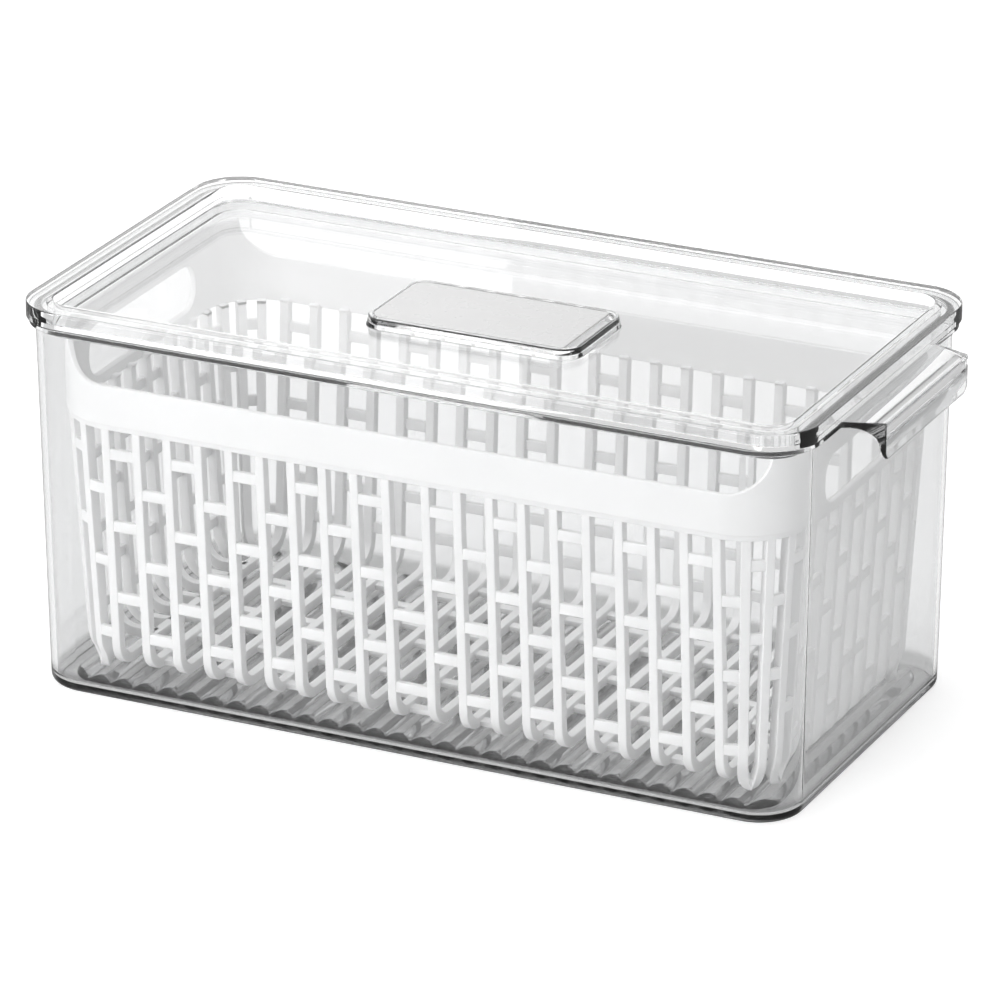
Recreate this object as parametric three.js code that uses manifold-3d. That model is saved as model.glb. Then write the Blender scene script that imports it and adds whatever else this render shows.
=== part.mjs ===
// Fridge bin: a clear tub with a carrying lip at its +X end, a clear lid with a raised label plate, and a
// white drain basket that stands on paired feet on the fluted tub floor.
// Millimetres, +Z up. The origin is the centre of the tub's flat underside, and the long side runs along X.
import * as THREE from "three";
import { mergeVertices } from "three/addons/utils/BufferGeometryUtils.js";
import Module from "manifold-3d";

const wasm = await Module();
wasm.setup();

// Shared
const GAP = 0.3; // clearance between pieces that touch
const CORNER_STEPS = 6; // facets in a quarter turn of a plan corner
const SINK = 0.5; // how far one body of a joined piece runs into the next

// Tub: plan outlines are half lengths along X and Y with a corner radius
const TUB_BASE = { x: 154.9, y: 80.2, r: 18 };
const TUB_MOUTH = { x: 157.2, y: 82.1, r: 19 };
const TUB_MOUTH_Z = 145.4; // underside of the rim flange
const TUB_RIM_Z = 147.6;
const TUB_RIM_OUT = 2.4; // rim flange beyond the wall
const TUB_WALL = 2.4;
const TUB_FLOOR = 2.6;
const TUB_EDGE = 3.2; // rounding of the outer bottom edge
const TUB_INNER_EDGE = 3; // and of the inner one
const FLUTE_PITCH = 9.7;
const FLUTE_COUNT = 30;
const FLUTE_STEPS = 6;
const FLUTE_TROUGH_Z = 2.9;
const FLUTE_CREST_Z = 5.3;
const FLUTE_ZONE = { x: 145.4, y: 72.6, r: 13 };

// Carrying lip on the tub's +X end
const LIP_X = 174.6;
const LIP_DROP_Z = 132.8;
const LIP_WALL = 2.2;
const LIP_CORNER = 10; // inner rounding of its fold
const LIP_HALF = 47.8; // half its width
const LIP_TIP_CUT = 4.5; // cut off each of its two lower corners

// Lid
const LID = { x: 160, y: 84.5, r: 19.2 };
const LID_TOP_Z = 154.3;
const LID_WALL = 2.4; // thickness of the plug that locates the lid inside the tub
const LID_RING = 10.2; // width of the flat ring round the sunk panel
const LID_EDGE = 0.5; // softening of the ring's two edges
const LID_PANEL_Z = 144.3;
const LID_PANEL = 2;

// Raised plate on the lid, with a white label plate let into its top
const PLATFORM = { x: 43.6, y: 23.6, r: 8 };
const PLATFORM_TOP_Z = 148.2;
const PLATFORM_DRAFT = 0.5;
const PLATFORM_EDGE = 0.5;
const POCKET = { x: 41.9, y: 20.9, r: 6 };
const LABEL_END_X = 38.2; // the plate is cut straight there, so a clear strip of the pocket is left
const LABEL_DEPTH = 1;
const LABEL_PROUD = 0.1;

// Drain basket
const RIM = { x: 151.1, y: 75.6, r: 26.2 };
const RIM_WALL = 2.3;
const RIM_END_Z = 141.5; // top of the rim over the two ends
const RIM_SIDE_Z = 125.7; // top of the rim along the two long sides
const RIM_EDGE = 0.5;
const DIP_HALF = 127.5; // half length of the low stretch of the rim
const LEDGE_Z = 110;
const LEDGE = 0.8; // step in from the rim to the grilles
const RIM_LOW_Z = 107.8;
const HOLE_HALF = 42; // hand hole in each end of the rim
const HOLE_Z = [112.4, 130.6];
const HOLE_ROUND = 8;
const DRAFT = Math.tan(THREE.MathUtils.degToRad(3.4));
const RIB_WIDTH = 3.6;
const RIB_DEPTH = 4.2;
const BAR_DEPTH = 2.2;
const BAR_RECESS = 0.3; // from the ribs' outer face
const BAR_HEIGHT = 4.4;
const FILLET = 11; // outer rounding between walls and floor
const FILLET_STEPS = 4;
const FLOOR_Z = 8.2; // underside of the basket floor
const FLOOR_THICK = 2.6;
const MIDDLE_GAP = 16.3; // between the two middle ribs of a long wall
const LONG_PITCH = 12.95;
const END_PITCH = 12.2;
const LONG_RIBS = 20;
const END_RIBS = 9; // one of them in the middle
const BAR_STEP = 29.8;
const BAR_HIGH = [97.8, 68.2, 38.4]; // bar heights in every second gap
const BAR_LOW = [83.1, 53.2, 23.3]; // and in the gaps between them
const CORNER_TURNS = [24.5, 45, 65.5]; // degrees from an end wall's heading to each corner rib
const FOOT_Z = 5.6; // underside of the feet, on the crests of the flutes
const FOOT_WIDTH = 4;

const clearPlastic = { color: 0xdfe4e6, roughness: 0.08, metalness: 0, transparent: true, opacity: 0.35 };
const whitePlastic = { color: 0xf4f4f2, roughness: 0.45, metalness: 0 };
const labelPlastic = { color: 0xfbfbfa, roughness: 0.3, metalness: 0 };

const bin = new THREE.Group();

// ---- Solids ----

// A closed geometry as a solid for joining and cutting.
function solid(geometry) {
  const bare = new THREE.BufferGeometry().setAttribute("position", geometry.getAttribute("position"));
  if (geometry.index) bare.setIndex(geometry.index);
  const merged = mergeVertices(bare, 1e-4);
  const corners = merged.index.array;
  const kept = [];
  for (let i = 0; i < corners.length; i += 3) {
    const [a, b, c] = corners.slice(i, i + 3);
    if (a !== b && b !== c && c !== a) kept.push(a, b, c);
  }
  return new wasm.Manifold(
    new wasm.Mesh({
      numProp: 3,
      vertProperties: merged.attributes.position.array,
      triVerts: new Uint32Array(kept),
    }),
  );
}

function joined(solids) {
  return solids.reduce((whole, next) => whole.add(next));
}

function addPiece(name, whole, look) {
  const mesh = whole.getMesh();
  const geometry = new THREE.BufferGeometry();
  geometry.setAttribute("position", new THREE.BufferAttribute(mesh.vertProperties, 3));
  geometry.setIndex(new THREE.BufferAttribute(mesh.triVerts, 1));
  geometry.computeVertexNormals();
  const piece = new THREE.Mesh(geometry, new THREE.MeshStandardMaterial(look));
  piece.name = name;
  bin.add(piece);
}

// ---- Plan outlines ----

const inset = (plan, by) => ({ x: plan.x - by, y: plan.y - by, r: Math.max(plan.r - by, 1) });

// A rounded rectangle as an open list of points, counter-clockwise from the +X side.
function outline({ x, y, r }) {
  const points = [];
  [[1, 1], [-1, 1], [-1, -1], [1, -1]].forEach(([sx, sy], quarter) => {
    for (let i = 0; i <= CORNER_STEPS; i++) {
      const turn = ((quarter + i / CORNER_STEPS) * Math.PI) / 2;
      points.push([sx * (x - r) + r * Math.cos(turn), sy * (y - r) + r * Math.sin(turn)]);
    }
  });
  return points;
}

// The skin through a stack of rings, each a plan outline with a height. It closes at both ends across the
// first and the last ring, or round on itself when the stack is a loop.
function skin(rings, loop = false) {
  const rows = rings.map(({ plan, z }) => outline(plan).map(([x, y]) => [x, y, z]));
  const count = rows[0].length;
  const positions = rows.flat(2);
  const faces = [];
  const last = rows.length - (loop ? 0 : 1);
  for (let row = 0; row < last; row++) {
    for (let i = 0; i < count; i++) {
      const [a, b] = [row * count + i, row * count + ((i + 1) % count)];
      const next = ((row + 1) % rows.length) * count;
      const [c, d] = [next + i, next + ((i + 1) % count)];
      faces.push(a, b, d, a, d, c);
    }
  }
  if (!loop) {
    const [low, high] = [rings[0].z, rings.at(-1).z];
    const centre = positions.length / 3;
    positions.push(0, 0, low, 0, 0, high);
    const top = (rows.length - 1) * count;
    for (let i = 0; i < count; i++) {
      const j = (i + 1) % count;
      faces.push(centre, j, i, centre + 1, top + i, top + j);
    }
  }
  const geometry = new THREE.BufferGeometry();
  geometry.setAttribute("position", new THREE.Float32BufferAttribute(positions, 3));
  geometry.setIndex(faces);
  return solid(geometry);
}

const ring = (plan, z) => ({ plan, z });

// A straight prism between two heights.
const prism = (plan, low, high) => skin([ring(plan, low), ring(plan, high)]);

// ---- Extruded bodies ----

function shapeOf(points) {
  return new THREE.Shape(points.map(([x, y]) => new THREE.Vector2(x, y)));
}

function extruded(shape, depth, curveSegments) {
  return new THREE.ExtrudeGeometry(shape, { depth, bevelEnabled: false, curveSegments });
}

// A flat outline given in X and Z, run along Y and centred on it.
function alongY(shape, length, steps = 12) {
  return solid(extruded(shape, length, steps).translate(0, 0, -length / 2).rotateX(Math.PI / 2));
}

// A flat outline given in Y and Z, run along X and centred on it.
function alongX(shape, length, steps = 12) {
  const geometry = extruded(shape, length, steps).translate(0, 0, -length / 2);
  return solid(geometry.rotateY(Math.PI / 2).rotateX(Math.PI / 2));
}

function block(low, high) {
  const size = high.map((value, i) => value - low[i]);
  const middle = high.map((value, i) => (value + low[i]) / 2);
  return solid(new THREE.BoxGeometry(...size).translate(...middle));
}

function roundedShape(halfWidth, low, high, radius) {
  const shape = new THREE.Shape();
  shape.moveTo(-halfWidth + radius, low);
  shape.lineTo(halfWidth - radius, low);
  shape.absarc(halfWidth - radius, low + radius, radius, -Math.PI / 2, 0);
  shape.absarc(halfWidth - radius, high - radius, radius, 0, Math.PI / 2);
  shape.absarc(-halfWidth + radius, high - radius, radius, Math.PI / 2, Math.PI);
  shape.absarc(-halfWidth + radius, low + radius, radius, Math.PI, (3 * Math.PI) / 2);
  return shape;
}

// ---- Tub ----

// The tub's outer wall at a height: it widens evenly from the base to the mouth.
function tubWall(z) {
  const t = z / TUB_MOUTH_Z;
  const blend = (key) => TUB_BASE[key] + (TUB_MOUTH[key] - TUB_BASE[key]) * t;
  return { x: blend("x"), y: blend("y"), r: blend("r") };
}

function tubShell() {
  const outside = (z, by) => ring(inset(tubWall(z), by), z);
  return skin([
    outside(0, TUB_EDGE),
    outside(TUB_EDGE * 0.2, TUB_EDGE * 0.33),
    outside(TUB_EDGE, 0),
    outside(TUB_MOUTH_Z - 0.6, 0),
    outside(TUB_MOUTH_Z, 0.6 - TUB_RIM_OUT),
    outside(TUB_MOUTH_Z + 0.6, -TUB_RIM_OUT),
    outside(TUB_RIM_Z, -TUB_RIM_OUT),
    outside(TUB_RIM_Z, TUB_WALL),
    outside(TUB_FLOOR + TUB_INNER_EDGE, TUB_WALL),
    outside(TUB_FLOOR + TUB_INNER_EDGE * 0.3, TUB_WALL + TUB_INNER_EDGE * 0.3),
    outside(TUB_FLOOR, TUB_WALL + TUB_INNER_EDGE),
  ]);
}

// Rounded flutes along Y, side by side over the tub floor.
function tubFlutes() {
  const half = (FLUTE_COUNT * FLUTE_PITCH) / 2;
  const points = [[half, TUB_FLOOR - SINK], [half, FLUTE_TROUGH_Z]];
  const steps = FLUTE_COUNT * FLUTE_STEPS;
  for (let i = 1; i < steps; i++) {
    const rise = Math.sin((Math.PI * (i % FLUTE_STEPS)) / FLUTE_STEPS);
    points.push([half - (i * 2 * half) / steps, FLUTE_TROUGH_Z + (FLUTE_CREST_Z - FLUTE_TROUGH_Z) * rise]);
  }
  points.push([-half, FLUTE_TROUGH_Z], [-half, TUB_FLOOR - SINK]);
  const flutes = alongY(shapeOf(points), 2 * TUB_BASE.y);
  return flutes.intersect(prism(FLUTE_ZONE, 0, FLUTE_CREST_Z + 1));
}

// A lip that runs out level with the rim and turns down, so that the fingers go behind it, with its
// two lower corners cut off.
function carryingLip() {
  const root = TUB_MOUTH.x + 1;
  const face = LIP_X - LIP_WALL;
  const section = new THREE.Shape();
  section.moveTo(root, TUB_RIM_Z);
  section.lineTo(root, TUB_MOUTH_Z);
  section.lineTo(face - LIP_CORNER, TUB_MOUTH_Z);
  section.absarc(face - LIP_CORNER, TUB_MOUTH_Z - LIP_CORNER, LIP_CORNER, Math.PI / 2, 0, true);
  section.lineTo(face, LIP_DROP_Z);
  section.lineTo(LIP_X, LIP_DROP_Z);
  section.lineTo(LIP_X, TUB_RIM_Z);
  const half = [
    [LIP_HALF - LIP_TIP_CUT, LIP_DROP_Z],
    [LIP_HALF, LIP_DROP_Z + LIP_TIP_CUT],
    [LIP_HALF, TUB_RIM_Z],
  ];
  const front = [...half, ...half.map(([y, z]) => [-y, z]).reverse()];
  return alongY(section, 3 * LIP_HALF, 6).intersect(alongX(shapeOf(front), 4 * LIP_X));
}

addPiece("tub", joined([tubShell(), tubFlutes(), carryingLip()]), clearPlastic);

// ---- Lid and label plate ----

function lidShell() {
  const seat = TUB_RIM_Z + GAP;
  const at = (by, z) => ring(inset(LID, by), z);
  const under = LID_PANEL_Z - LID_PANEL;
  return skin([
    at(LID_RING, under),
    at(LID_RING - LID_WALL, under),
    at(LID_RING - LID_WALL, seat),
    at(0, seat),
    at(0, LID_TOP_Z - LID_EDGE),
    at(LID_EDGE, LID_TOP_Z),
    at(LID_RING - LID_EDGE, LID_TOP_Z),
    at(LID_RING, LID_TOP_Z - LID_EDGE),
    at(LID_RING, LID_PANEL_Z),
  ]);
}

// A hollow raised plate in the middle of the lid panel, with a pocket in its top.
const POCKET_Z = PLATFORM_TOP_Z - LABEL_DEPTH;
function lidWithPlatform() {
  const raised = skin([
    ring(inset(PLATFORM, -PLATFORM_DRAFT), LID_PANEL_Z - SINK),
    ring(PLATFORM, PLATFORM_TOP_Z - PLATFORM_EDGE),
    ring(inset(PLATFORM, PLATFORM_EDGE), PLATFORM_TOP_Z),
  ]);
  const hollow = prism(inset(PLATFORM, LID_PANEL), 0, POCKET_Z - LID_PANEL);
  const pocket = prism(POCKET, POCKET_Z, LID_TOP_Z);
  return lidShell().add(raised).subtract(hollow).subtract(pocket);
}

addPiece("lid", lidWithPlatform(), clearPlastic);

function labelPlate() {
  const top = PLATFORM_TOP_Z + LABEL_PROUD;
  const rounded = prism(inset(POCKET, GAP), POCKET_Z + GAP, top);
  return rounded.intersect(block([-POCKET.x, -POCKET.y, 0], [LABEL_END_X, POCKET.y, LID_TOP_Z]));
}

addPiece("lid_label_plate", labelPlate(), labelPlastic);

// ---- Drain basket ----

// Centre lines of the corner rounding: every wall and corner is measured outwards from these.
const CORNER_X = RIM.x - RIM.r;
const CORNER_Y = RIM.y - RIM.r;

// Outward distance of the grille's outer face from the corner centre line, at a height.
const reach = (z) => RIM.r - LEDGE - (LEDGE_Z - z) * DRAFT;

const GRILLE_TOP = RIM_LOW_Z - GAP;
const FILLET_Z = FLOOR_Z + FILLET;
const FLOOR_REACH = reach(FILLET_Z) - FILLET;

function basketRim() {
  const at = (by, z) => ring(inset(RIM, by), z);
  const band = skin(
    [
      at(LEDGE, RIM_LOW_Z),
      at(LEDGE, LEDGE_Z),
      at(0, LEDGE_Z),
      at(0, RIM_END_Z - RIM_EDGE),
      at(RIM_EDGE, RIM_END_Z),
      at(RIM_WALL - RIM_EDGE, RIM_END_Z),
      at(RIM_WALL, RIM_END_Z - RIM_EDGE),
      at(RIM_WALL + LEDGE, LEDGE_Z),
      at(RIM_WALL + LEDGE, RIM_LOW_Z),
    ],
    true,
  );
  const rise = RIM_END_Z - RIM_SIDE_Z;
  const dip = new THREE.Shape();
  dip.moveTo(-DIP_HALF, RIM_SIDE_Z);
  dip.lineTo(DIP_HALF, RIM_SIDE_Z);
  dip.absarc(DIP_HALF, RIM_END_Z, rise, -Math.PI / 2, 0);
  dip.lineTo(DIP_HALF + rise, RIM_END_Z + rise);
  dip.lineTo(-DIP_HALF - rise, RIM_END_Z + rise);
  dip.absarc(-DIP_HALF, RIM_END_Z, rise, Math.PI, (3 * Math.PI) / 2);
  const handHole = roundedShape(HOLE_HALF, HOLE_Z[0], HOLE_Z[1], HOLE_ROUND);
  return band.subtract(alongY(dip, 4 * RIM.y, 6)).subtract(alongX(handHole, 4 * RIM.x, 3));
}

// One rib seen from the side: down the wall, round the fillet and a little way under the floor.
// Distances run outwards from the corner centre line.
function ribProfile() {
  const outer = [];
  const inner = [];
  for (let i = 0; i <= FILLET_STEPS; i++) {
    const turn = (-Math.PI / 2) * (i / FILLET_STEPS);
    const [c, s] = [Math.cos(turn), Math.sin(turn)];
    outer.push([FLOOR_REACH + FILLET * c, FILLET_Z + FILLET * s]);
    inner.push([FLOOR_REACH + (FILLET - RIB_DEPTH) * c, FILLET_Z + (FILLET - RIB_DEPTH) * s]);
  }
  const top = reach(GRILLE_TOP);
  return shapeOf([[top - RIB_DEPTH, GRILLE_TOP], ...inner, ...outer.reverse(), [top, GRILLE_TOP]]);
}

// Ribs stand across X here, with the wall facing +Y and the corner centre line on Y = 0.
const rib = alongX(ribProfile(), RIB_WIDTH);

// Middle positions of evenly spaced ribs, centred on the wall.
function evenPlaces(count, pitch) {
  return Array.from({ length: count }, (_, i) => (i - (count - 1) / 2) * pitch);
}

// The long walls have a wider gap in the middle.
const widened = (MIDDLE_GAP - LONG_PITCH) / 2;
const longPlaces = evenPlaces(LONG_RIBS, LONG_PITCH).map((place) => place + Math.sign(place) * widened);
const endPlaces = evenPlaces(END_RIBS, END_PITCH);

// The bars in a gap between two ribs, counted from the outer end of a wall, alternate in height.
const outerFirst = (gap, gaps) => Math.min(gap, gaps - 1 - gap);
const endHeights = (gap) => (outerFirst(gap, END_RIBS - 1) % 2 === 0 ? BAR_LOW : BAR_HIGH);
const longHeights = (gap) => (outerFirst(gap, LONG_RIBS - 1) % 2 === 0 ? BAR_HIGH : BAR_LOW);

// A flat grille facing +Y, its corner centre line on Y = 0.
function flatGrille(places, heights) {
  const ribs = places.map((place) => rib.translate([place, 0, 0]));
  const bars = places.slice(1).flatMap((place, gap) =>
    heights(gap).map((z) => {
      const face = reach(z) - BAR_RECESS;
      const low = [places[gap] + RIB_WIDTH / 2 - SINK, face - BAR_DEPTH, z - BAR_HEIGHT / 2];
      const high = [place - RIB_WIDTH / 2 + SINK, face, z + BAR_HEIGHT / 2];
      return block(low, high);
    }),
  );
  return joined([...ribs, ...bars]);
}

const longGrille = flatGrille(longPlaces, longHeights);
const endGrille = flatGrille(endPlaces, endHeights);
const turned = (body, degrees, x, y) => body.rotate([0, 0, degrees]).translate([x, y, 0]);
addPiece("basket_back_grille", turned(longGrille, 0, 0, CORNER_Y), whitePlastic);
addPiece("basket_front_grille", turned(longGrille, 180, 0, -CORNER_Y), whitePlastic);
addPiece("basket_left_grille", turned(endGrille, 90, -CORNER_X, 0), whitePlastic);
addPiece("basket_right_grille", turned(endGrille, -90, CORNER_X, 0), whitePlastic);

// A piece of a ring round the corner centre, between two turns measured from +X.
function ringPart(innerRadius, outerRadius, [from, to], [low, high]) {
  const shape = new THREE.Shape();
  shape.absarc(0, 0, outerRadius, from, to, false);
  shape.absarc(0, 0, innerRadius, to, from, true);
  return solid(extruded(shape, high - low, 2).translate(0, 0, low));
}

// The corner between +X and +Y. Its ribs are radial, and the ribs round it stand in pairs on feet: two of
// its own, and its first one with the last rib of the end wall.
function cornerGrille() {
  const stops = [0, ...CORNER_TURNS, 90].map((turn) => THREE.MathUtils.degToRad(turn));
  const ribs = CORNER_TURNS.map((turn) => rib.rotate([0, 0, turn - 90]));
  const gapHeights = [BAR_HIGH, BAR_LOW.slice(0, 2), BAR_HIGH.slice(0, 2), BAR_LOW];
  const bars = gapHeights.flatMap((heights, gap) =>
    heights.map((z) => {
      const face = reach(z) - BAR_RECESS;
      const span = [z - BAR_HEIGHT / 2, z + BAR_HEIGHT / 2];
      return ringPart(face - BAR_DEPTH, face, stops.slice(gap, gap + 2), span);
    }),
  );
  const footSpan = [FOOT_Z, FLOOR_Z + FLOOR_THICK];
  const feet = [stops.slice(0, 2), stops.slice(2, 4)].map((turns) =>
    ringPart(FLOOR_REACH, FLOOR_REACH + FOOT_WIDTH, turns, footSpan),
  );
  const clear = RIB_WIDTH / 2 + GAP;
  const low = [longPlaces.at(-1) + clear - CORNER_X, endPlaces.at(-1) + clear - CORNER_Y, 0];
  const room = block(low, [RIM.r, RIM.r, RIM_LOW_Z]);
  return joined([...ribs, ...bars, ...feet]).intersect(room).translate([CORNER_X, CORNER_Y, 0]);
}

const corner = cornerGrille();
addPiece("basket_back_right_corner", corner, whitePlastic);
addPiece("basket_back_left_corner", corner.mirror([1, 0, 0]), whitePlastic);
addPiece("basket_front_left_corner", corner.rotate([0, 0, 180]), whitePlastic);
addPiece("basket_front_right_corner", corner.mirror([0, 1, 0]), whitePlastic);

// The floor: a plate with brick-like slots between ribs that carry on from the long walls.
const FLOOR_BARS_EVEN = [-1, 0, 1]; // bars across every second gap, in bar steps from the middle
const FLOOR_BARS_ODD = [-1.5, -0.5, 0.5, 1.5];
function basketFloor() {
  const plan = { x: CORNER_X + FLOOR_REACH - GAP, y: CORNER_Y + FLOOR_REACH - GAP, r: FLOOR_REACH - GAP };
  const plate = prism(plan, FLOOR_Z, FLOOR_Z + FLOOR_THICK);
  const middle = longPlaces.length / 2 - 1;
  const slots = longPlaces.slice(1).flatMap((place, gap) => {
    const steps = Math.abs(gap - middle) % 2 === 0 ? FLOOR_BARS_EVEN : FLOOR_BARS_ODD;
    const bars = [-plan.y + BAR_HEIGHT / 2, ...steps.map((k) => k * BAR_STEP), plan.y - BAR_HEIGHT / 2];
    return bars.slice(1).map((bar, i) => {
      const low = [longPlaces[gap] + RIB_WIDTH / 2, bars[i] + BAR_HEIGHT / 2, 0];
      const high = [place - RIB_WIDTH / 2, bar - BAR_HEIGHT / 2, LEDGE_Z];
      return block(low, high);
    });
  });
  return plate.subtract(joined(slots));
}

addPiece("basket_rim", basketRim(), whitePlastic);
addPiece("basket_floor", basketFloor(), whitePlastic);

export default bin;
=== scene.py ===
# Fridge bin: the looks of a clear tub and lid, a white label plate and a white drain basket, built round the
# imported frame. Lengths below are in millimetres in the row frame, and become metres when a mesh is made.
import math

import bmesh
import bpy
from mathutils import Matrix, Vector


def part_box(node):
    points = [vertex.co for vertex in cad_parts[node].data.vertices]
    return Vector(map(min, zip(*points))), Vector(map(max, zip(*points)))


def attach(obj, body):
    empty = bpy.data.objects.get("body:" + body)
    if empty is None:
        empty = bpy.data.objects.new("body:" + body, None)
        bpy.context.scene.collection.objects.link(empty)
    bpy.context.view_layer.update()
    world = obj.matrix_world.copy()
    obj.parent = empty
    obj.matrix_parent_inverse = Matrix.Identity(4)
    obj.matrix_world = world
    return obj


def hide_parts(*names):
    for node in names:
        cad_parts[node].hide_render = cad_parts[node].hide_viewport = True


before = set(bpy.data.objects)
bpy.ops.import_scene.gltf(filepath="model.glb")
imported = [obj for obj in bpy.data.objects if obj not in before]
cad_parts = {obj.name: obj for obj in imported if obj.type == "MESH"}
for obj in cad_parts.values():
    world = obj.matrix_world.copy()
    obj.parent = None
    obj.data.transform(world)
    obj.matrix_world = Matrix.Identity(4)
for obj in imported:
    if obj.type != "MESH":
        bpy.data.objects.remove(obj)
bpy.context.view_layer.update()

MM = 0.001


def node_box(name):
    """A CAD node's box in millimetres: lowest corner, highest corner."""
    low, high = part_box(name)
    return low / MM, high / MM


TUB_LOW, TUB_HIGH = node_box("tub")
LID_LOW, LID_HIGH = node_box("lid")
LABEL_LOW, LABEL_HIGH = node_box("lid_label_plate")
RIM_LOW, RIM_HIGH = node_box("basket_rim")
CORNER_LOW, _ = node_box("basket_back_right_corner")
FLOOR_LOW, FLOOR_HIGH = node_box("basket_floor")

TURN_STEPS = 20  # facets in a quarter turn of a plan corner
LEAST_TURN = 0.6  # corner radius that an outline keeps however far it is moved in
MERGE = 1e-7  # metres between points that become one


# ---------------------------------------------------------------- mesh helpers

def plan(x, y, r):
    """A rounded rectangle in plan: half lengths and corner radius."""
    return {"x": x, "y": y, "r": r}


def inset(p, by):
    """The same rounded rectangle moved in by a distance."""
    return plan(p["x"] - by, p["y"] - by, max(p["r"] - by, LEAST_TURN))


def outline(p, steps=TURN_STEPS):
    """Points round a rounded rectangle, counter-clockwise from the +X side."""
    points = []
    for quarter, (sx, sy) in enumerate(((1, 1), (-1, 1), (-1, -1), (1, -1))):
        for i in range(steps + 1):
            turn = (quarter + i / steps) * math.pi / 2
            x = sx * (p["x"] - p["r"]) + p["r"] * math.cos(turn)
            y = sy * (p["y"] - p["r"]) + p["r"] * math.sin(turn)
            points.append((x, y))
    return points


def arc(cx, cy, r, start, end, steps):
    """Points on an arc, from one turn to another in degrees, both ends in."""
    turns = [math.radians(start + (end - start) * i / steps) for i in range(steps + 1)]
    return [(cx + r * math.cos(t), cy + r * math.sin(t)) for t in turns]


def mesh_object(name, verts, faces, smooth=True):
    """A mesh object from millimetre points, with its faces turned outwards."""
    data = bpy.data.meshes.new(name)
    data.from_pydata([tuple(c * MM for c in v) for v in verts], [], faces)
    made = bmesh.new()
    made.from_mesh(data)
    bmesh.ops.remove_doubles(made, verts=made.verts, dist=MERGE)
    bmesh.ops.recalc_face_normals(made, faces=made.faces)
    made.to_mesh(data)
    made.free()
    data.polygons.foreach_set("use_smooth", [smooth] * len(data.polygons))
    piece = bpy.data.objects.new(name, data)
    bpy.context.scene.collection.objects.link(piece)
    return piece


def skin_parts(rings, loop=False):
    """Vertices and faces through a stack of rings of equal length, closed at both ends or on itself."""
    count = len(rings[0])
    verts = [v for ring in rings for v in ring]
    faces = []
    for row in range(len(rings) - (0 if loop else 1)):
        here, there = row * count, ((row + 1) % len(rings)) * count
        for i in range(count):
            j = (i + 1) % count
            faces.append((here + i, here + j, there + j, there + i))
    if not loop:
        faces.append(tuple(range(count - 1, -1, -1)))
        faces.append(tuple(range(len(verts) - count, len(verts))))
    return verts, faces


def flat_ring(p, z):
    """The points of a plan outline at a height."""
    return [(x, y, z) for x, y in outline(p)]


def rings_in(p, profile):
    """One flat ring for each (how far in from the plan outline, height) of a profile."""
    return [flat_ring(inset(p, by), z) for by, z in profile]


def add_part(parts, verts, faces):
    """Appends one closed body to a list of vertices and faces."""
    base = len(parts[0])
    parts[0].extend(verts)
    parts[1].extend(tuple(base + i for i in face) for face in faces)


def apply_modifiers(piece):
    """Replaces a piece's mesh by the same mesh with its modifiers applied."""
    graph = bpy.context.evaluated_depsgraph_get()
    final = bpy.data.meshes.new_from_object(piece.evaluated_get(graph))
    piece.modifiers.clear()
    piece.data = final


def boolean(piece, other, operation):
    """Joins or cuts piece with other, which is then deleted."""
    change = piece.modifiers.new(operation.lower(), "BOOLEAN")
    change.operation = operation
    change.solver = "EXACT"
    change.object = other
    bpy.context.view_layer.update()
    apply_modifiers(piece)
    bpy.data.objects.remove(other)


def even_normals(piece):
    """Keeps flat faces flat beside rounded edges."""
    change = piece.modifiers.new("even_normals", "WEIGHTED_NORMAL")
    change.keep_sharp = True
    change.weight = 100


# ---------------------------------------------------------------- materials

def grey(level):
    """A neutral colour."""
    return level, level, level


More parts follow.
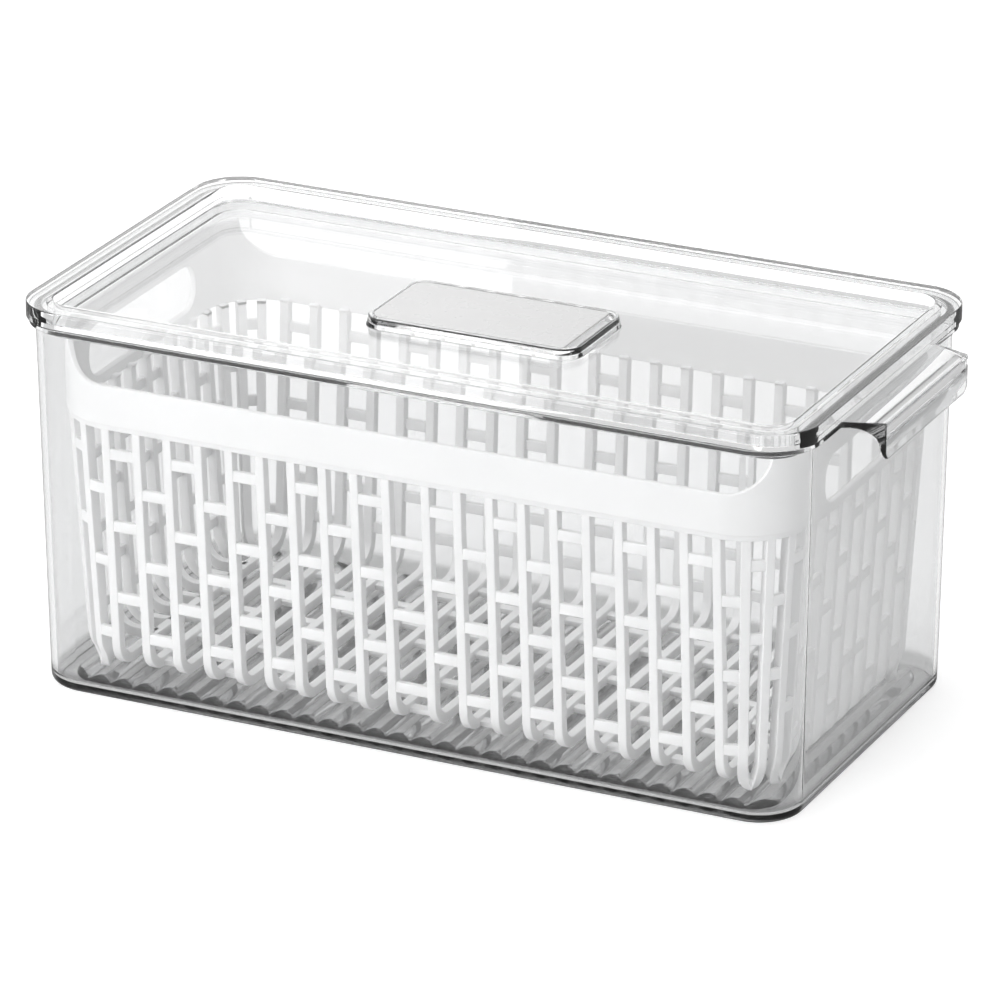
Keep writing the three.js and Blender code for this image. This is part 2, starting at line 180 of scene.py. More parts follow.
class Nodes:
    """A material's node tree with short ways to add to it."""

    def __init__(self, name):
        self.material = bpy.data.materials.new(name)
        self.material.use_nodes = True
        self.tree = self.material.node_tree
        self.shader = self.tree.nodes["Principled BSDF"]
        self.output = self.tree.nodes["Material Output"]

    def add(self, kind, **settings):
        """A new node, with its inputs and properties set by name."""
        node = self.tree.nodes.new(kind)
        for key, value in settings.items():
            if key in node.inputs:
                node.inputs[key].default_value = value
            else:
                setattr(node, key, value)
        return node

    def link(self, source, target):
        self.tree.links.new(source, target)

    def noise(self, scale, detail=2.0):
        """A 0 to 1 value that wanders over the piece, scale times in a metre."""
        place = self.add("ShaderNodeTexCoord")
        texture = self.add("ShaderNodeTexNoise", Scale=scale, Detail=detail)
        self.link(place.outputs["Object"], texture.inputs["Vector"])
        return texture.outputs["Fac"]

    def remap(self, source, low, high, start=0.0, stop=1.0, blend="LINEAR"):
        """A value that goes from low to high as the source goes from start to stop."""
        change = self.add("ShaderNodeMapRange", interpolation_type=blend)
        for socket, value in (("From Min", start), ("From Max", stop), ("To Min", low), ("To Max", high)):
            change.inputs[socket].default_value = value
        self.link(source, change.inputs["Value"])
        return change.outputs["Result"]

    def along(self, axis, start, stop, share):
        """A value that falls from 1 to share over a stretch of one of the piece's own axes, in metres."""
        place = self.add("ShaderNodeTexCoord")
        split = self.add("ShaderNodeSeparateXYZ")
        self.link(place.outputs["Object"], split.inputs["Vector"])
        return self.remap(split.outputs[axis], 1.0, share, start, stop, "SMOOTHSTEP")

    def grazing(self, start, stop, share):
        """A value that falls from 1 to share as the surface turns edge on to the view."""
        weight = self.add("ShaderNodeLayerWeight")
        return self.remap(weight.outputs["Facing"], 1.0, share, start, stop, "SMOOTHSTEP")

    def product(self, first, second):
        """One value times another."""
        both = self.add("ShaderNodeMath", operation="MULTIPLY")
        self.link(first, both.inputs[0])
        self.link(second, both.inputs[1])
        return both.outputs["Value"]

    def tone(self, source, low, high):
        """Colours the piece between two shades by a 0 to 1 value."""
        ramp = self.add("ShaderNodeValToRGB")
        ramp.color_ramp.elements[0].color = (*low, 1)
        ramp.color_ramp.elements[1].color = (*high, 1)
        self.link(source, ramp.inputs["Fac"])
        self.link(ramp.outputs["Color"], self.shader.inputs["Base Color"])

    def bump(self, source, strength, distance):
        """Small relief from a 0 to 1 value, distance metres high."""
        change = self.add("ShaderNodeBump", Strength=strength, Distance=distance)
        self.link(source, change.inputs["Height"])
        self.link(change.outputs["Normal"], self.shader.inputs["Normal"])


CLEAR_IOR = 1.56


def clear_plastic(name, tint, lamp_tint, roughness, absorption, painted_shade=()):
    """Moulded clear plastic with a faint flow waviness, and painted shade, a dark outline, where it is edge
    on to the view.

    tint colours what is seen through it, and lamp_tint the lamp light that goes straight through.
    absorption is per metre: a wall stays clear, and an edge seen along the wall goes grey.
    The last argument lists (axis, start, stop, share): over each stretch, in metres, the tint falls to that
    share of itself as painted shade.
    """
    nodes = Nodes(name)
    shade = nodes.remap(nodes.noise(scale=18.0), low=0.985, high=1.0)
    # painted shade: the tint darkens to a dark outline where the surface turns edge on to the view
    shade = nodes.product(shade, nodes.grazing(start=0.70, stop=0.97, share=0.45))
    # painted shade: the tint darkens over each listed stretch
    for stretch in painted_shade:
        shade = nodes.product(shade, nodes.along(*stretch))
    nodes.tone(shade, grey(0), tint)
    nodes.shader.inputs["IOR"].default_value = CLEAR_IOR
    nodes.shader.inputs["Transmission Weight"].default_value = 1
    gloss = nodes.remap(nodes.noise(scale=35.0), low=roughness * 0.4, high=roughness * 1.6)
    nodes.link(gloss, nodes.shader.inputs["Roughness"])
    nodes.bump(nodes.noise(scale=22.0, detail=1.0), strength=0.012, distance=0.002)
    path = nodes.add("ShaderNodeLightPath")
    through = nodes.add("ShaderNodeBsdfTransparent", Color=(*lamp_tint, 1))
    mix = nodes.add("ShaderNodeMixShader")
    nodes.link(path.outputs["Is Shadow Ray"], mix.inputs[0])
    nodes.link(nodes.shader.outputs["BSDF"], mix.inputs[1])
    nodes.link(through.outputs["BSDF"], mix.inputs[2])
    nodes.link(mix.outputs["Shader"], nodes.output.inputs["Surface"])
    haze = nodes.add("ShaderNodeVolumeAbsorption", Density=absorption, Color=(*grey(0.5), 1))
    nodes.link(haze.outputs["Volume"], nodes.output.inputs["Volume"])
    return nodes.material


def basket_plastic():
    """Satin white moulded plastic: fine grain, with slow changes of gloss and tone."""
    nodes = Nodes("basket_white")
    nodes.tone(nodes.noise(scale=28.0), (0.84, 0.841, 0.843), grey(0.88))
    gloss = nodes.remap(nodes.noise(scale=60.0, detail=3.0), low=0.34, high=0.5)
    nodes.link(gloss, nodes.shader.inputs["Roughness"])
    nodes.bump(nodes.noise(scale=900.0, detail=3.0), strength=0.12, distance=0.0003)
    return nodes.material


def label_plastic():
    """Smooth white plate with a faint grain."""
    nodes = Nodes("label_white")
    nodes.tone(nodes.noise(scale=50.0), grey(0.84), grey(0.88))
    gloss = nodes.remap(nodes.noise(scale=120.0), low=0.22, high=0.34)
    nodes.link(gloss, nodes.shader.inputs["Roughness"])
    nodes.bump(nodes.noise(scale=1500.0), strength=0.06, distance=0.0002)
    return nodes.material


def floor_paint():
    """Plain pale studio floor, dimmer in reflections so that clear edges get a dark outline."""
    nodes = Nodes("studio_floor")
    nodes.shader.inputs["Emission Color"].default_value = (*grey(1), 1)
    mirrored = nodes.add("ShaderNodeLightPath").outputs["Is Reflection Ray"]
    nodes.tone(mirrored, grey(0.95), grey(0.4))
    glow = nodes.remap(mirrored, low=0.42, high=0.05)
    nodes.link(glow, nodes.shader.inputs["Emission Strength"])
    gloss = nodes.remap(nodes.noise(scale=3.0), low=0.6, high=0.8)
    nodes.link(gloss, nodes.shader.inputs["Roughness"])
    return nodes.material


# ---------------------------------------------------------------- tub

RIM_Z = TUB_HIGH.z
FLANGE = 2.4  # how far the rim flange stands out
FLANGE_Z = RIM_Z - 2.2  # its underside
WALL = 2.4
FLOOR_TOP = 2.6
INNER_ROUND = 3.0
MOUTH_TURN, BASE_TURN = 19, 18  # plan corner radii under the flange and at the bottom
DRAFT_X, DRAFT_Y = 2.3, 1.9  # how far an end and a long side lean in from the mouth to the bottom
TUB_MOUTH = plan(-TUB_LOW.x - FLANGE, TUB_HIGH.y - FLANGE, MOUTH_TURN)
TUB_BASE = plan(TUB_MOUTH["x"] - DRAFT_X, TUB_MOUTH["y"] - DRAFT_Y, BASE_TURN)
BASE_ROUND = 3.2
FLUTES = 30
FLUTE_PITCH = 9.7
FLUTE_ZONE = plan(145.4, 72.6, 13)
FLUTE_LOW, FLUTE_HIGH = 2.9, 5.3
FLUTE_STEPS = 12  # facets across one flute
FLUTE_CAP = 3.6  # length of the rounded cap at each end of a flute
FLUTE_SINK = 0.3  # how far the flutes' lowest line lies inside the floor
FLUTE_FULLNESS = 0.6  # power of the wave: under 1 the crests are broad and the valleys narrow


def tub_wall(z):
    """The tub's outer wall outline at a height."""
    t = z / FLANGE_Z
    return plan(*(TUB_BASE[k] + (TUB_MOUTH[k] - TUB_BASE[k]) * t for k in "xyr"))


def tub_shell():
    """Wall, floor and rim flange as one skin, from the underside up, over the rim and down to the floor."""
    edge = 0.45
    profile = [(BASE_ROUND - r, z) for r, z in arc(0, BASE_ROUND, BASE_ROUND, -90, 0, 7)]
    profile += [(0, FLANGE_Z - 0.6), (-0.15, FLANGE_Z - 0.2), (-0.5, FLANGE_Z)]  # a fillet under the flange
    profile += [(-r, z) for r, z in arc(FLANGE - edge, FLANGE_Z + edge, edge, -90, 0, 3)]
    profile += [(-r, z) for r, z in arc(FLANGE - edge, RIM_Z - edge, edge, 0, 90, 3)]
    profile += [(WALL - edge + r, z) for r, z in arc(0, RIM_Z - edge, edge, 90, 0, 3)]
    profile += [(WALL, FLANGE_Z - 1.5)]
    corner = WALL + INNER_ROUND, FLOOR_TOP + INNER_ROUND
    profile += [(r, z) for r, z in arc(*corner, INNER_ROUND, 180, 270, 6)]
    rings = [flat_ring(inset(tub_wall(z), by), z) for by, z in profile]
    return mesh_object("clear_tub", *skin_parts(rings))


def flute_column(x):
    """One line of points over the flutes from end to end, with a rounded cap at each end."""
    x_in = max(abs(x) - (FLUTE_ZONE["x"] - FLUTE_ZONE["r"]), 0)
    y_end = FLUTE_ZONE["y"] - FLUTE_ZONE["r"] + math.sqrt(max(FLUTE_ZONE["r"] ** 2 - x_in**2, 1))
    place = (x / FLUTE_PITCH) % 1
    wave = math.sin(math.pi * place) ** FLUTE_FULLNESS
    low = FLOOR_TOP - FLUTE_SINK
    height = FLUTE_LOW - low + (FLUTE_HIGH - FLUTE_LOW) * wave
    cap = arc(0, 0, 1, 180, 90, 7)
    near = [(-y_end + FLUTE_CAP * (1 + c), low + height * s) for c, s in cap]
    return [(x, y, z) for y, z in near] + [(x, -y, z) for y, z in reversed(near)]


def flute_bed():
    """The flutes side by side, as one closed body that stands in the tub floor."""
    half = FLUTES * FLUTE_PITCH / 2
    sunk = FLOOR_TOP / 2
    rings = []
    for i in range(FLUTES * FLUTE_STEPS + 1):
        column = flute_column(i * FLUTE_PITCH / FLUTE_STEPS - half)
        rings.append(column + [(*column[-1][:2], sunk), (*column[0][:2], sunk)])
    return mesh_object("flutes", *skin_parts(rings))


LIP_X = TUB_HIGH.x
LIP_DROP = 14.8
LIP_LOW_Z = RIM_Z - LIP_DROP
LIP_PLATE = 2.4
LIP_TIP_WALL = 1.6
LIP_MID_HALF = 30.0  # the middle stretch, where nothing changes
LIP_END_HALF = 45.0  # at the tub
LIP_TAPER = 0.13  # share of its half length that the lip has lost at the fold
LIP_ROUND = 4.5  # of its two lower corners, seen from the end
LIP_EDGE = 0.5
LIP_ROOT = TUB_MOUTH["x"] + 0.8  # its start, inside the rim flange
LIP_FLAT = 4.0  # straight stretch at the root
LIP_NOSE = 0.6  # outer rounding of the fold
LIP_BEND = 10.0, 9.5  # inner rounding of the fold, along X and Z


def lip_section(half):
    """The lip cut across at a distance from its middle: out from the tub, over the fold, down and back."""
    over = max(half - (LIP_END_HALF - LIP_ROUND), 0)
    low = LIP_LOW_Z + LIP_ROUND - math.sqrt(LIP_ROUND**2 - over**2)
    edge = max(half - (LIP_END_HALF - LIP_EDGE), 0)
    shrink = LIP_EDGE - math.sqrt(LIP_EDGE**2 - edge**2)
    top, out = RIM_Z - shrink, LIP_X - shrink
    under, wall = RIM_Z - LIP_PLATE + shrink, LIP_TIP_WALL
    across, high = LIP_BEND
    high = min(high, under - low - wall / 2)
    points = [(LIP_ROOT, top), (LIP_ROOT + LIP_FLAT, top)]
    points += arc(out - LIP_NOSE, top - LIP_NOSE, LIP_NOSE, 90, 0, 5)
    points += arc(out - wall / 2, low + wall / 2, wall / 2, 0, -180, 6)
    for i in range(10):
        turn = math.pi / 2 * i / 9
        points.append((out - wall - across * (1 - math.cos(turn)), under - high * (1 - math.sin(turn))))
    points += [(LIP_ROOT + LIP_FLAT, under), (LIP_ROOT, under)]
    return points


def carrying_lip():
    """A lip level with the rim, narrower at its fold, where it turns down over an arch for the fingers."""
    corner = [LIP_END_HALF - LIP_ROUND + LIP_ROUND * math.sin(math.pi / 2 * i / 7) for i in range(7)]
    edge = [LIP_END_HALF - LIP_EDGE + LIP_EDGE * math.sin(math.pi / 2 * i / 3) for i in range(4)]
    apart = 0.02  # least distance from the last of the corner's sections to the edge's first
    side = [LIP_MID_HALF] + [half for half in corner if half < edge[0] - apart] + edge
    places = [-half for half in reversed(side)] + side

    def narrowed(y, x):
        return y * (1 - LIP_TAPER * (x - LIP_ROOT) / (LIP_X - LIP_ROOT))

    rings = [[(x, narrowed(y, x), z) for x, z in lip_section(abs(y))] for y in places]
    return mesh_object("lip", *skin_parts(rings))


def make_tub():
    tub = tub_shell()
    boolean(tub, flute_bed(), "UNION")
    boolean(tub, carrying_lip(), "UNION")
    even_normals(tub)
    return tub


# ---------------------------------------------------------------- lid and label plate

LID = plan(LID_HIGH.x, LID_HIGH.y, 19.2)
LID_TOP = LID_HIGH.z
LID_SEAT = RIM_Z + 0.3
PLUG_WALL = 2.4  # from the plug's outer face to the ring's inner face
LID_UNDER = LID_LOW.z
RING_WIDTH = 10.2
PANEL = 2.0  # its thickness, and that of the skin of the raised plate
PANEL_Z = LID_UNDER + PANEL
PLATFORM = plan(43.6, 23.6, 8)  # the raised plate
PLATFORM_TOP = PANEL_Z + 3.9
POCKET = plan(41.9, 20.9, 6)  # where the label plate is let in
POCKET_Z = PLATFORM_TOP - 1.0


def lid_profile():
    """From under the panel, round the plug and the seat, over the ring and down to the panel."""
    plug = RING_WIDTH - PLUG_WALL
    sharp, soft = 0.4, 0.6
    profile = [(plug + 2, LID_UNDER)]
    profile += [(plug + r, z) for r, z in arc(sharp, LID_UNDER + sharp, sharp, 270, 180, 3)]
    profile += [(plug, LID_SEAT + 0.2), (plug - 0.2, LID_SEAT)]
    profile += arc(0.3, LID_SEAT + 0.3, 0.3, 270, 180, 2)
    profile += arc(sharp, LID_TOP - sharp, sharp, 180, 90, 4)
    profile += [(RING_WIDTH - r, z) for r, z in arc(soft, LID_TOP - soft, soft, 90, 180, 5)]
    profile += [(RING_WIDTH + r, z) for r, z in arc(soft, PANEL_Z + soft, soft, 180, 270, 4)]
    return profile


def make_lid():
    """Ring, sunk panel and hollow raised plate, from the underside's middle round to the pocket."""
    hollow = inset(PLATFORM, PANEL)
    hollow_top = POCKET_Z - PANEL
    rings = rings_in(hollow, [(0.6, hollow_top), (0.2, hollow_top - 0.15), (0, hollow_top - 0.5)])
    rings += rings_in(hollow, [(0, LID_UNDER + 0.3), (-0.3, LID_UNDER)])
    rings += rings_in(LID, lid_profile())
    rings += rings_in(PLATFORM, [(-0.9, PANEL_Z), (-0.55, PANEL_Z + 0.25)])
    rings += rings_in(PLATFORM, arc(0.6, PLATFORM_TOP - 0.6, 0.6, 180, 90, 4))
    rings += rings_in(POCKET, [(-0.2, PLATFORM_TOP), (0, PLATFORM_TOP - 0.2), (0, POCKET_Z)])
    lid = mesh_object("clear_lid", *skin_parts(rings))
    even_normals(lid)
    return lid


def make_label():
    """A plate with two rounded corners at its -X end, cut straight at its +X end."""
    bottom, top = LABEL_LOW.z, LABEL_HIGH.z
    edge = 0.3
    whole = plan(-LABEL_LOW.x, LABEL_HIGH.y, POCKET["r"] - 0.3)
    rings = []
    for by, z in [(0.15, bottom), (0, bottom + 0.15)] + arc(edge, top - edge, edge, 180, 90, 4):
        rings.append([(min(x, LABEL_HIGH.x - by), y, z) for x, y, z in flat_ring(inset(whole, by), z)])
    label = mesh_object("label_plate", *skin_parts(rings))
    even_normals(label)
    return label


# ---------------------------------------------------------------- drain basket

RIM = plan(RIM_HIGH.x, RIM_HIGH.y, 26.2)
RIM_TOP = RIM_HIGH.z
RIM_BOTTOM = RIM_LOW.z
RIM_WALL = 2.3
RIM_DIP = 15.8  # how much lower the rim's top edge is along the long sides
DIP_HALF = 127.5  # half length of that low stretch
LEDGE = 0.8  # how far the rim stands out over the grilles
LEDGE_Z = RIM_BOTTOM + 2.2
HOLE_HALF, HOLE_LOW, HOLE_HIGH, HOLE_ROUND = 42.0, 112.4, 130.6, 8.0
CORNER_X, CORNER_Y = RIM["x"] - RIM["r"], RIM["y"] - RIM["r"]
DRAFT = math.tan(math.radians(3.4))  # how much the basket's walls lean in
RIB_WIDTH = 3.6
RIB_DEPTH = 4.2
BAR_HEIGHT = 4.4
BAR_DEPTH = 2.2
BAR_RECESS = 0.25
BAR_SINK = 0.6  # how far a bar's end runs into its rib
BAR_SOFT = 0.35
FILLET = 11.0
BASKET_FLOOR = FLOOR_LOW.z
FLOOR_THICK = FLOOR_HIGH.z - FLOOR_LOW.z
FILLET_Z = BASKET_FLOOR + FILLET
WALL_STOP = 60  # height of one more stop on the way down a wall
HIGH_BARS = (97.8, 68.2, 38.4)  # heights of the bars in every other gap
LOW_BARS = (83.1, 53.2, 23.3)  # and in the gaps between
BAR_STEP = 29.8  # from bar to bar across the floor
LONG_COUNT, LONG_PITCH = 20, 12.95
MIDDLE_GAP = 16.3  # between the two middle ribs of a long side
END_COUNT, END_PITCH = 9, 12.2
CORNER_TURNS = [math.radians(turn) for turn in (24.5, 45, 65.5)]
FOOT_Z = CORNER_LOW.z + 0.2
FOOT_OUT = 6.6  # how far a foot's bottom lies outside the start of the floor
FOOT_STEPS = 10
FOOT_LEAN = 34  # degrees round the fillet where a leg leaves its wall for the foot
FOOT_TURN = 40  # further degrees that it leans at the foot's bottom


def even_places(count, pitch):
    """Places in an even row about 0."""
    return [(i - (count - 1) / 2) * pitch for i in range(count)]


MIDDLE_SHIFT = (MIDDLE_GAP - LONG_PITCH) / 2
LONG_RIBS = [x + math.copysign(MIDDLE_SHIFT, x) for x in even_places(LONG_COUNT, LONG_PITCH)]
END_RIBS = even_places(END_COUNT, END_PITCH)


def reach(z):
    """How far the grilles' outer face stands out from the corner centre line at a height."""
    return RIM["r"] - LEDGE - (LEDGE_Z - z) * DRAFT


FLOOR_REACH = reach(FILLET_Z) - FILLET


def rim_top(x):
    """Height of the rim's top edge: low along the long sides, and swept up at the ends."""
    over = min(max(abs(x) - DIP_HALF, 0), RIM_DIP)
    return RIM_TOP - math.sqrt(RIM_DIP**2 - over**2)


def rim_stations():
    """Places round the rim with their outward directions."""
    placed = []
    for x, y in outline(RIM, 48):
        out = Vector((x - min(max(x, -CORNER_X), CORNER_X), y - min(max(y, -CORNER_Y), CORNER_Y)))
        placed.append((x, y, out.normalized()))
    return placed


def rim_band():
    """The solid band round the basket's mouth, with rounded edges and a low stretch on each long side."""
    edge = 0.7
    inner = RIM_WALL + LEDGE
    rings = []
    for x, y, out in rim_stations():
        top = rim_top(x)
        section = [(LEDGE + 0.2, RIM_BOTTOM), (LEDGE, RIM_BOTTOM + 0.3), (LEDGE, LEDGE_Z - 0.25)]
        section += [(0.3, LEDGE_Z), (0, LEDGE_Z + 0.3)]
        section += arc(edge, top - edge, edge, 180, 90, 4)
        section += arc(RIM_WALL - edge, top - edge, edge, 90, 0, 4)
        section += [(inner, RIM_BOTTOM + 0.4), (inner - 0.3, RIM_BOTTOM)]
        rings.append([(x - out.x * by, y - out.y * by, z) for by, z in section])
    return mesh_object("drain_basket", *skin_parts(rings, loop=True))


def hand_hole_cutter(side):
    """A rounded bar that cuts one end wall's hand hole, flared at both faces to soften the hole's edges."""
    soft = 0.6
    past, clear = 0.05, 4  # how far the flare and the whole bar run past each face
    middle = (HOLE_LOW + HOLE_HIGH) / 2
    half_high = (HOLE_HIGH - HOLE_LOW) / 2
    x_in, x_out = RIM["x"] - RIM_WALL, RIM["x"]
    rings = []
    for x, grow in (
        (x_in - clear, soft), (x_in - past, soft), (x_in + soft, 0),
        (x_out - soft, 0), (x_out + past, soft), (x_out + clear, soft),
    ):
        loop = outline(plan(HOLE_HALF + grow, half_high + grow, HOLE_ROUND + grow), 8)
        rings.append([(side * x, y, middle + z) for y, z in loop])
    return mesh_object("cutter", *skin_parts(rings))


def rib_section():
    """Points round a rib's section as (across, outwards), with softened corners."""
    outer, inner = 0.5, 0.4  # corner radii at its two faces
    across = RIB_WIDTH / 2
    corners = (
        (across - outer, -outer, outer), (outer - across, -outer, outer),
        (inner - across, inner - RIB_DEPTH, inner), (across - inner, inner - RIB_DEPTH, inner),
    )
    points = []
    for quarter, (x, y, r) in enumerate(corners):
        points += arc(x, y, r, 90 * quarter, 90 * (quarter + 1), 4)
    return points


RIB_SECTION = rib_section()


def sweep(path, parts):
    """Runs the rib section along a path of (place, outward, across) frames."""
    rings = []
    for place, outward, across in path:
        rings.append([tuple(place + across * a + outward * d) for a, d in RIB_SECTION])
    add_part(parts, *skin_parts(rings))


def wall_line():
    """A rib's outer line as (out, height, lean in degrees), from inside the rim down to the floor."""
    top = RIM_BOTTOM
    line = [(reach(top) - 0.9, top + 1.4, 0.0), (reach(top), top, 0.0), (reach(WALL_STOP), WALL_STOP, 0.0)]
    for i in range(9):
        lean = 90 * i / 8
        out, down = math.cos(math.radians(lean)), math.sin(math.radians(lean))
        line.append((FLOOR_REACH + FILLET * out, FILLET_Z - FILLET * down, lean))
    return line


def leaning(heading, lean):
    """An outward heading turned down by some degrees."""
    a = math.radians(lean)
    return heading * math.cos(a) - Vector((0, 0, math.sin(a)))


def framed(centre, turn, line):
    """A wall line as sweep frames: centre is on the corner centre line, turn the outward heading."""
    heading = Vector((math.cos(turn), math.sin(turn), 0))
    across = Vector((-math.sin(turn), math.cos(turn), 0))
    base = Vector((*centre, 0))
    frames = []
    for out, z, lean in line:
        place = base + heading * out + Vector((0, 0, z))
        frames.append((place, leaning(heading, lean), across))
    return frames


def long_ribs(parts):
    """Ribs that run down the front, across the floor and up the back in one bend."""
    for x in LONG_RIBS:
        back = framed((x, CORNER_Y), math.pi / 2, wall_line())
        front = framed((x, -CORNER_Y), -math.pi / 2, wall_line())
        sweep(back + [(place, outward, -across) for place, outward, across in reversed(front)], parts)


def end_ribs(parts):
    """Ribs down each end wall and along the floor to the first cross rib; the outer two are corner legs."""
    for side, turn in ((1, 0), (-1, math.pi)):
        for y in END_RIBS[1:-1]:
            path = framed((side * CORNER_X, y), turn, wall_line())
            place, outward, across = path[-1]
            sweep(path + [(Vector((side * LONG_RIBS[-1], y, place.z)), outward, across)], parts)


def foot_pair(parts, legs):
    """Two legs of a corner, each (centre, outward turn), joined in one U just over the tub's flutes."""
    (first, first_turn), (second, second_turn) = legs
    down = [stop for stop in wall_line() if stop[2] <= FOOT_LEAN]
    out, z, _ = down[-1]
    foot_out = FLOOR_REACH + FOOT_OUT
    stops = [(0, *stop) for stop in down]
    for i in range(1, FOOT_STEPS):
        drop = math.sin(math.pi * i / FOOT_STEPS)
        share = (1 - math.cos(math.pi * i / FOOT_STEPS)) / 2
        low_out, low_z = out + (foot_out - out) * drop, z + (FOOT_Z - z) * drop
        stops.append((share, low_out, low_z, FOOT_LEAN + FOOT_TURN * drop))
    stops += [(1, *stop) for stop in reversed(down)]
    places, outwards = [], []
    for share, stop_out, stop_z, lean in stops:
        turn = first_turn + (second_turn - first_turn) * share
        heading = Vector((math.cos(turn), math.sin(turn), 0))
        centre = Vector((*first, 0)).lerp(Vector((*second, 0)), share)
        places.append(centre + heading * stop_out + Vector((0, 0, stop_z)))
        outwards.append(leaning(heading, lean))
    path = []
    for i, (place, outward) in enumerate(zip(places, outwards)):
        ahead = places[min(i + 1, len(places) - 1)] - places[max(i - 1, 0)]
        across = ahead.cross(outward).normalized()
        path.append((place, across.cross(ahead).normalized(), across))
    sweep(path, parts)


def bar(parts, low, high):
    """A bar between two opposite corners, with its four edges along X softened."""
    (x0, y0, z0), (x1, y1, z1) = low, high
    rings = []
    for z, by in ((z0, BAR_SOFT), (z0 + BAR_SOFT, 0), (z1 - BAR_SOFT, 0), (z1, BAR_SOFT)):
        rings.append([(x0, y0 + by, z), (x1, y0 + by, z), (x1, y1 - by, z), (x0, y1 - by, z)])
    add_part(parts, *skin_parts(rings))


def end_bar(parts, low, high):
    """The same bar for a wall that runs along Y."""
    turned = ([], [])
    bar(turned, (low[1], low[0], low[2]), (high[1], high[0], high[2]))
    add_part(parts, [(y, x, z) for x, y, z in turned[0]], turned[1])


def outer_first(gap, count):
    """Counts the gaps of a wall from its nearer end."""
    return min(gap, count - 2 - gap)


def bar_ends(places, gap):
    """Where a bar starts and stops in one gap of a row of ribs."""
    return places[gap] + RIB_WIDTH / 2 - BAR_SINK, places[gap + 1] - RIB_WIDTH / 2 + BAR_SINK


def wall_bars(parts):
    """Bars between neighbouring ribs of the four flat walls, staggered from gap to gap."""
    walls = (
        (LONG_RIBS, CORNER_Y, bar, (HIGH_BARS, LOW_BARS)),
        (END_RIBS, CORNER_X, end_bar, (LOW_BARS, HIGH_BARS)),
    )
    for places, centre, add_bar, levels in walls:
        for gap in range(len(places) - 1):
            start, stop = bar_ends(places, gap)
            for z in levels[outer_first(gap, len(places)) % 2]:
                out = centre + reach(z) - BAR_RECESS
                for near, far in ((out - BAR_DEPTH, out), (-out, -out + BAR_DEPTH)):
                    low, high = (start, near, z - BAR_HEIGHT / 2), (stop, far, z + BAR_HEIGHT / 2)
                    if add_bar is end_bar:
                        low, high = (near, start, low[2]), (far, stop, high[2])
                    add_bar(parts, low, high)


def ring_bar(parts, centre, start, end, z):
    """A bar bent round a corner centre."""
    steps, soft = 5, BAR_SOFT
    outer, inner, half = reach(z) - BAR_RECESS, reach(z) - BAR_RECESS - BAR_DEPTH, BAR_HEIGHT / 2
    section = [(outer - soft, half), (outer, half - soft), (outer, soft - half), (outer - soft, -half)]
    section += [(inner + soft, -half), (inner, soft - half), (inner, half - soft), (inner + soft, half)]
    rings = []
    for i in range(steps + 1):
        turn = start + (end - start) * i / steps
        x, y = math.cos(turn), math.sin(turn)
        rings.append([(centre[0] + r * x, centre[1] + r * y, z + dz) for r, dz in section])
    add_part(parts, *skin_parts(rings))


def corner_parts(parts, sx, sy):
    """Three radial ribs and the end wall's outer rib, in two U shaped pairs, and the bars between them."""
    centre = (sx * CORNER_X, sy * CORNER_Y)
    beside = (sx * CORNER_X, sy * END_RIBS[-1])

    def heading(turn):
        return math.atan2(sy * math.sin(turn), sx * math.cos(turn))

    first, second, third = (heading(turn) for turn in CORNER_TURNS)
    end_wall, long_wall = heading(0), heading(math.pi / 2)
    if sx < 0:
        end_wall = math.copysign(math.pi, sy)
    foot_pair(parts, ((beside, end_wall), (centre, first)))
    foot_pair(parts, ((centre, second), (centre, third)))
    gaps = (
        (end_wall, first, HIGH_BARS), (first, second, LOW_BARS[:2]),
        (second, third, HIGH_BARS[:2]), (third, long_wall, LOW_BARS),
    )
    for start, end, levels in gaps:
        for z in levels:
            ring_bar(parts, centre, start, end, z)


def floor_bars(parts):
    """Bars along X between the ribs that cross the floor, in a brick pattern."""
    low_z, high_z = BASKET_FLOOR + 0.4, BASKET_FLOOR + FLOOR_THICK
    edge = CORNER_Y + FLOOR_REACH - BAR_HEIGHT / 2
    for gap in range(len(LONG_RIBS) - 1):
        start, stop = bar_ends(LONG_RIBS, gap)
        places = [k * BAR_STEP for k in (-1.5, -0.5, 0.5, 1.5)]
        if outer_first(gap, len(LONG_RIBS)) % 2:
            places = [-edge, -BAR_STEP, 0, BAR_STEP, edge]
        for y in places:
            bar(parts, (start, y - BAR_HEIGHT / 2, low_z), (stop, y + BAR_HEIGHT / 2, high_z))


def make_basket():
    basket = rim_band()
    for side in (1, -1):
        boolean(basket, hand_hole_cutter(side), "DIFFERENCE")
    parts = ([], [])
    long_ribs(parts)
    end_ribs(parts)
    wall_bars(parts)
    floor_bars(parts)
    for sx in (1, -1):
        for sy in (1, -1):
            corner_parts(parts, sx, sy)
    lattice = mesh_object("lattice", *parts)
    whole = bmesh.new()
    whole.from_mesh(basket.data)
    whole.from_mesh(lattice.data)
    whole.to_mesh(basket.data)
    whole.free()
    bpy.data.objects.remove(lattice)
    basket.data.polygons.foreach_set("use_smooth", [True] * len(basket.data.polygons))
    even_normals(basket)
    return basket


# ---------------------------------------------------------------- camera, light and floor

VIEW_AZIMUTH = math.radians(25.574)
VIEW_ELEVATION = math.radians(21.926)
VIEW_DISTANCE = 2.595
VIEW_AIM = Vector((0.0048, -0.0046, 0.0762))
LENS, SENSOR = 248.68, 36
FAR = 50  # metres to which the camera sees
VIEW_BACK = Vector((
    math.sin(VIEW_AZIMUTH) * math.cos(VIEW_ELEVATION),
    -math.cos(VIEW_AZIMUTH) * math.cos(VIEW_ELEVATION),
    math.sin(VIEW_ELEVATION),
))


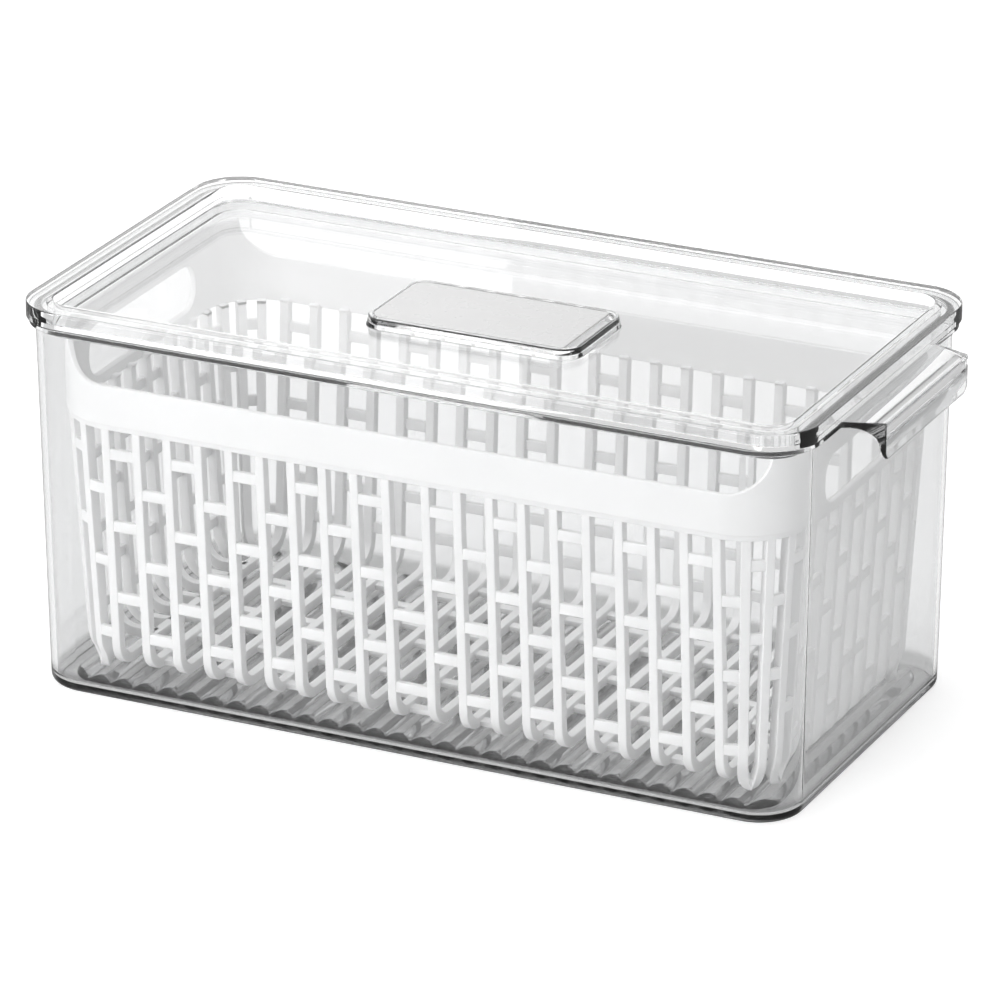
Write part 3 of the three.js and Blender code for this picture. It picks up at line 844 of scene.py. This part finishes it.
def make_camera():
    data = bpy.data.cameras.new("camera")
    data.sensor_width = SENSOR
    data.lens = LENS
    data.clip_end = FAR
    camera = bpy.data.objects.new("camera", data)
    camera.location = VIEW_AIM + VIEW_BACK * VIEW_DISTANCE
    camera.rotation_mode = "QUATERNION"
    camera.rotation_quaternion = (-VIEW_BACK).to_track_quat("-Z", "Y")
    bpy.context.scene.collection.objects.link(camera)
    bpy.context.scene.camera = camera


def area_light(name, place, aim, width, height, power):
    """A soft box: place, aim and size in metres, power in watts."""
    data = bpy.data.lights.new(name, "AREA")
    data.shape = "RECTANGLE"
    data.size = width
    data.size_y = height
    data.energy = power
    light = bpy.data.objects.new(name, data)
    light.location = place
    light.rotation_mode = "QUATERNION"
    light.rotation_quaternion = (Vector(aim) - Vector(place)).to_track_quat("-Z", "Y")
    bpy.context.scene.collection.objects.link(light)


ROOM_SEEN = 0.75  # the room's strength in and through the clear plastic
ROOM_LIGHT = 0.3  # its strength as light on the white pieces
STUDIO_HALF = 9000
STUDIO_Z = -0.2  # a little under the tub, so that the two faces don't coincide


def make_studio():
    """White room, pale floor, and four soft lamps."""
    scene = bpy.context.scene
    scene.view_settings.view_transform = "Standard"
    scene.cycles.max_bounces = 24
    scene.cycles.transmission_bounces = 24
    scene.cycles.glossy_bounces = 8
    scene.cycles.transparent_max_bounces = 32
    world = bpy.data.worlds.new("studio")
    scene.world = world
    world.use_nodes = True
    tree = world.node_tree
    path = tree.nodes.new("ShaderNodeLightPath")
    strength = tree.nodes.new("ShaderNodeMapRange")
    strength.inputs["To Min"].default_value = ROOM_SEEN
    strength.inputs["To Max"].default_value = ROOM_LIGHT
    tree.links.new(path.outputs["Is Diffuse Ray"], strength.inputs["Value"])
    tree.links.new(strength.outputs["Result"], tree.nodes["Background"].inputs["Strength"])
    tree.nodes["Background"].inputs["Color"].default_value = (*grey(1), 1)
    half, z = STUDIO_HALF, STUDIO_Z
    verts = [(-half, -half, z), (half, -half, z), (half, half, z), (-half, half, z)]
    floor = mesh_object("studio_floor", verts, [(0, 1, 2, 3)], smooth=False)
    floor.data.materials.append(floor_paint())
    area_light("overhead", place=(-0.3, -0.2, 2.5), aim=(0, 0, 0.05), width=2.4, height=2.4, power=39)
    area_light("front", place=(-1.1, -2.3, 0.3), aim=(0, 0, 0.08), width=1.4, height=0.6, power=24)
    area_light("side", place=(2.2, -0.9, 0.5), aim=(0.1, 0, 0.08), width=0.8, height=0.6, power=6)
    # its mirror image lies over the left part of the lid
    area_light("back_box", place=(-1.30, 1.50, 0.84), aim=(-0.06, 0, 0.14), width=1.1, height=0.9, power=2.0)


make_camera()

tub = make_tub()
tub.data.materials.clear()
clear_tub = clear_plastic(
    "clear_tub", tint=(0.885, 0.888, 0.891), lamp_tint=grey(0.84), roughness=0.02, absorption=5.0,
    # painted shade over the fluted floor, standing in for the shade under the basket, and darker towards the
    # -X end
    painted_shade=(("Z", 0.009, 0.0055, 0.62), ("X", -0.138, -0.152, 0.9)),  # the fluted floor, and the -X end
)
tub.data.materials.append(clear_tub)
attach(tub, "tub")
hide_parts("tub")

lid = make_lid()
clear_lid = clear_plastic(
    "clear_lid", tint=(0.95, 0.952, 0.954), lamp_tint=grey(0.78), roughness=0.015, absorption=1.0,
)
lid.data.materials.append(clear_lid)
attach(lid, "lid")
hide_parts("lid")

label = make_label()
label.data.materials.append(label_plastic())
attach(label, "lid")
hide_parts("lid_label_plate")

basket = make_basket()
basket.data.materials.clear()
basket.data.materials.append(basket_plastic())
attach(basket, "basket")
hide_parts(*[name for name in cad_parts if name.startswith("basket_")])

make_studio()
